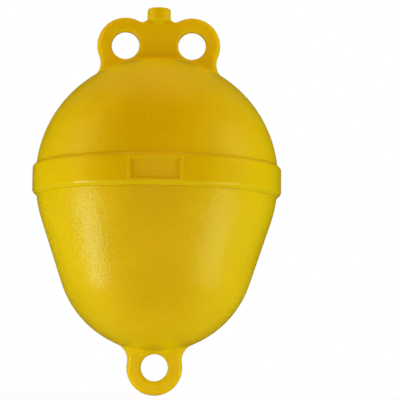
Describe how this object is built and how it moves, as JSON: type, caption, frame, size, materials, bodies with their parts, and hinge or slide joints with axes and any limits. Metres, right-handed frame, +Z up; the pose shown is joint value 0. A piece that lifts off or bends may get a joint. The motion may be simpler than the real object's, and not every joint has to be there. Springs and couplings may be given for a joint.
{
  "type": "mooring marker buoy",
  "caption": "Pear-shaped moulded mooring buoy with a domed top, tapered bottom, raised belt, twin-eye lifting lug and a single mooring eye below.",
  "frame": {"origin": "on the hull's axis at the middle of the belt, which is also the waterline mount", "axes": "+Z up along the hull's axis, -Y towards the name plate, both lugs in the XZ plane"},
  "size_m": [0.25, 0.2507, 0.391],
  "materials": {
    "hull_grained": "satin, fine leather grain",
    "belt_smooth": "satin, smooth",
    "lug_smooth": "satin, smooth"
  },
  "bodies": {
    "root": {"upper_shell": "hull_grained", "lower_shell": "hull_grained", "belt_band": "belt_smooth", "name_plate": "belt_smooth", "lifting_lug": "lug_smooth", "neck_plug": "lug_smooth", "mooring_lug": "lug_smooth"}
  },
  "joints": []
}
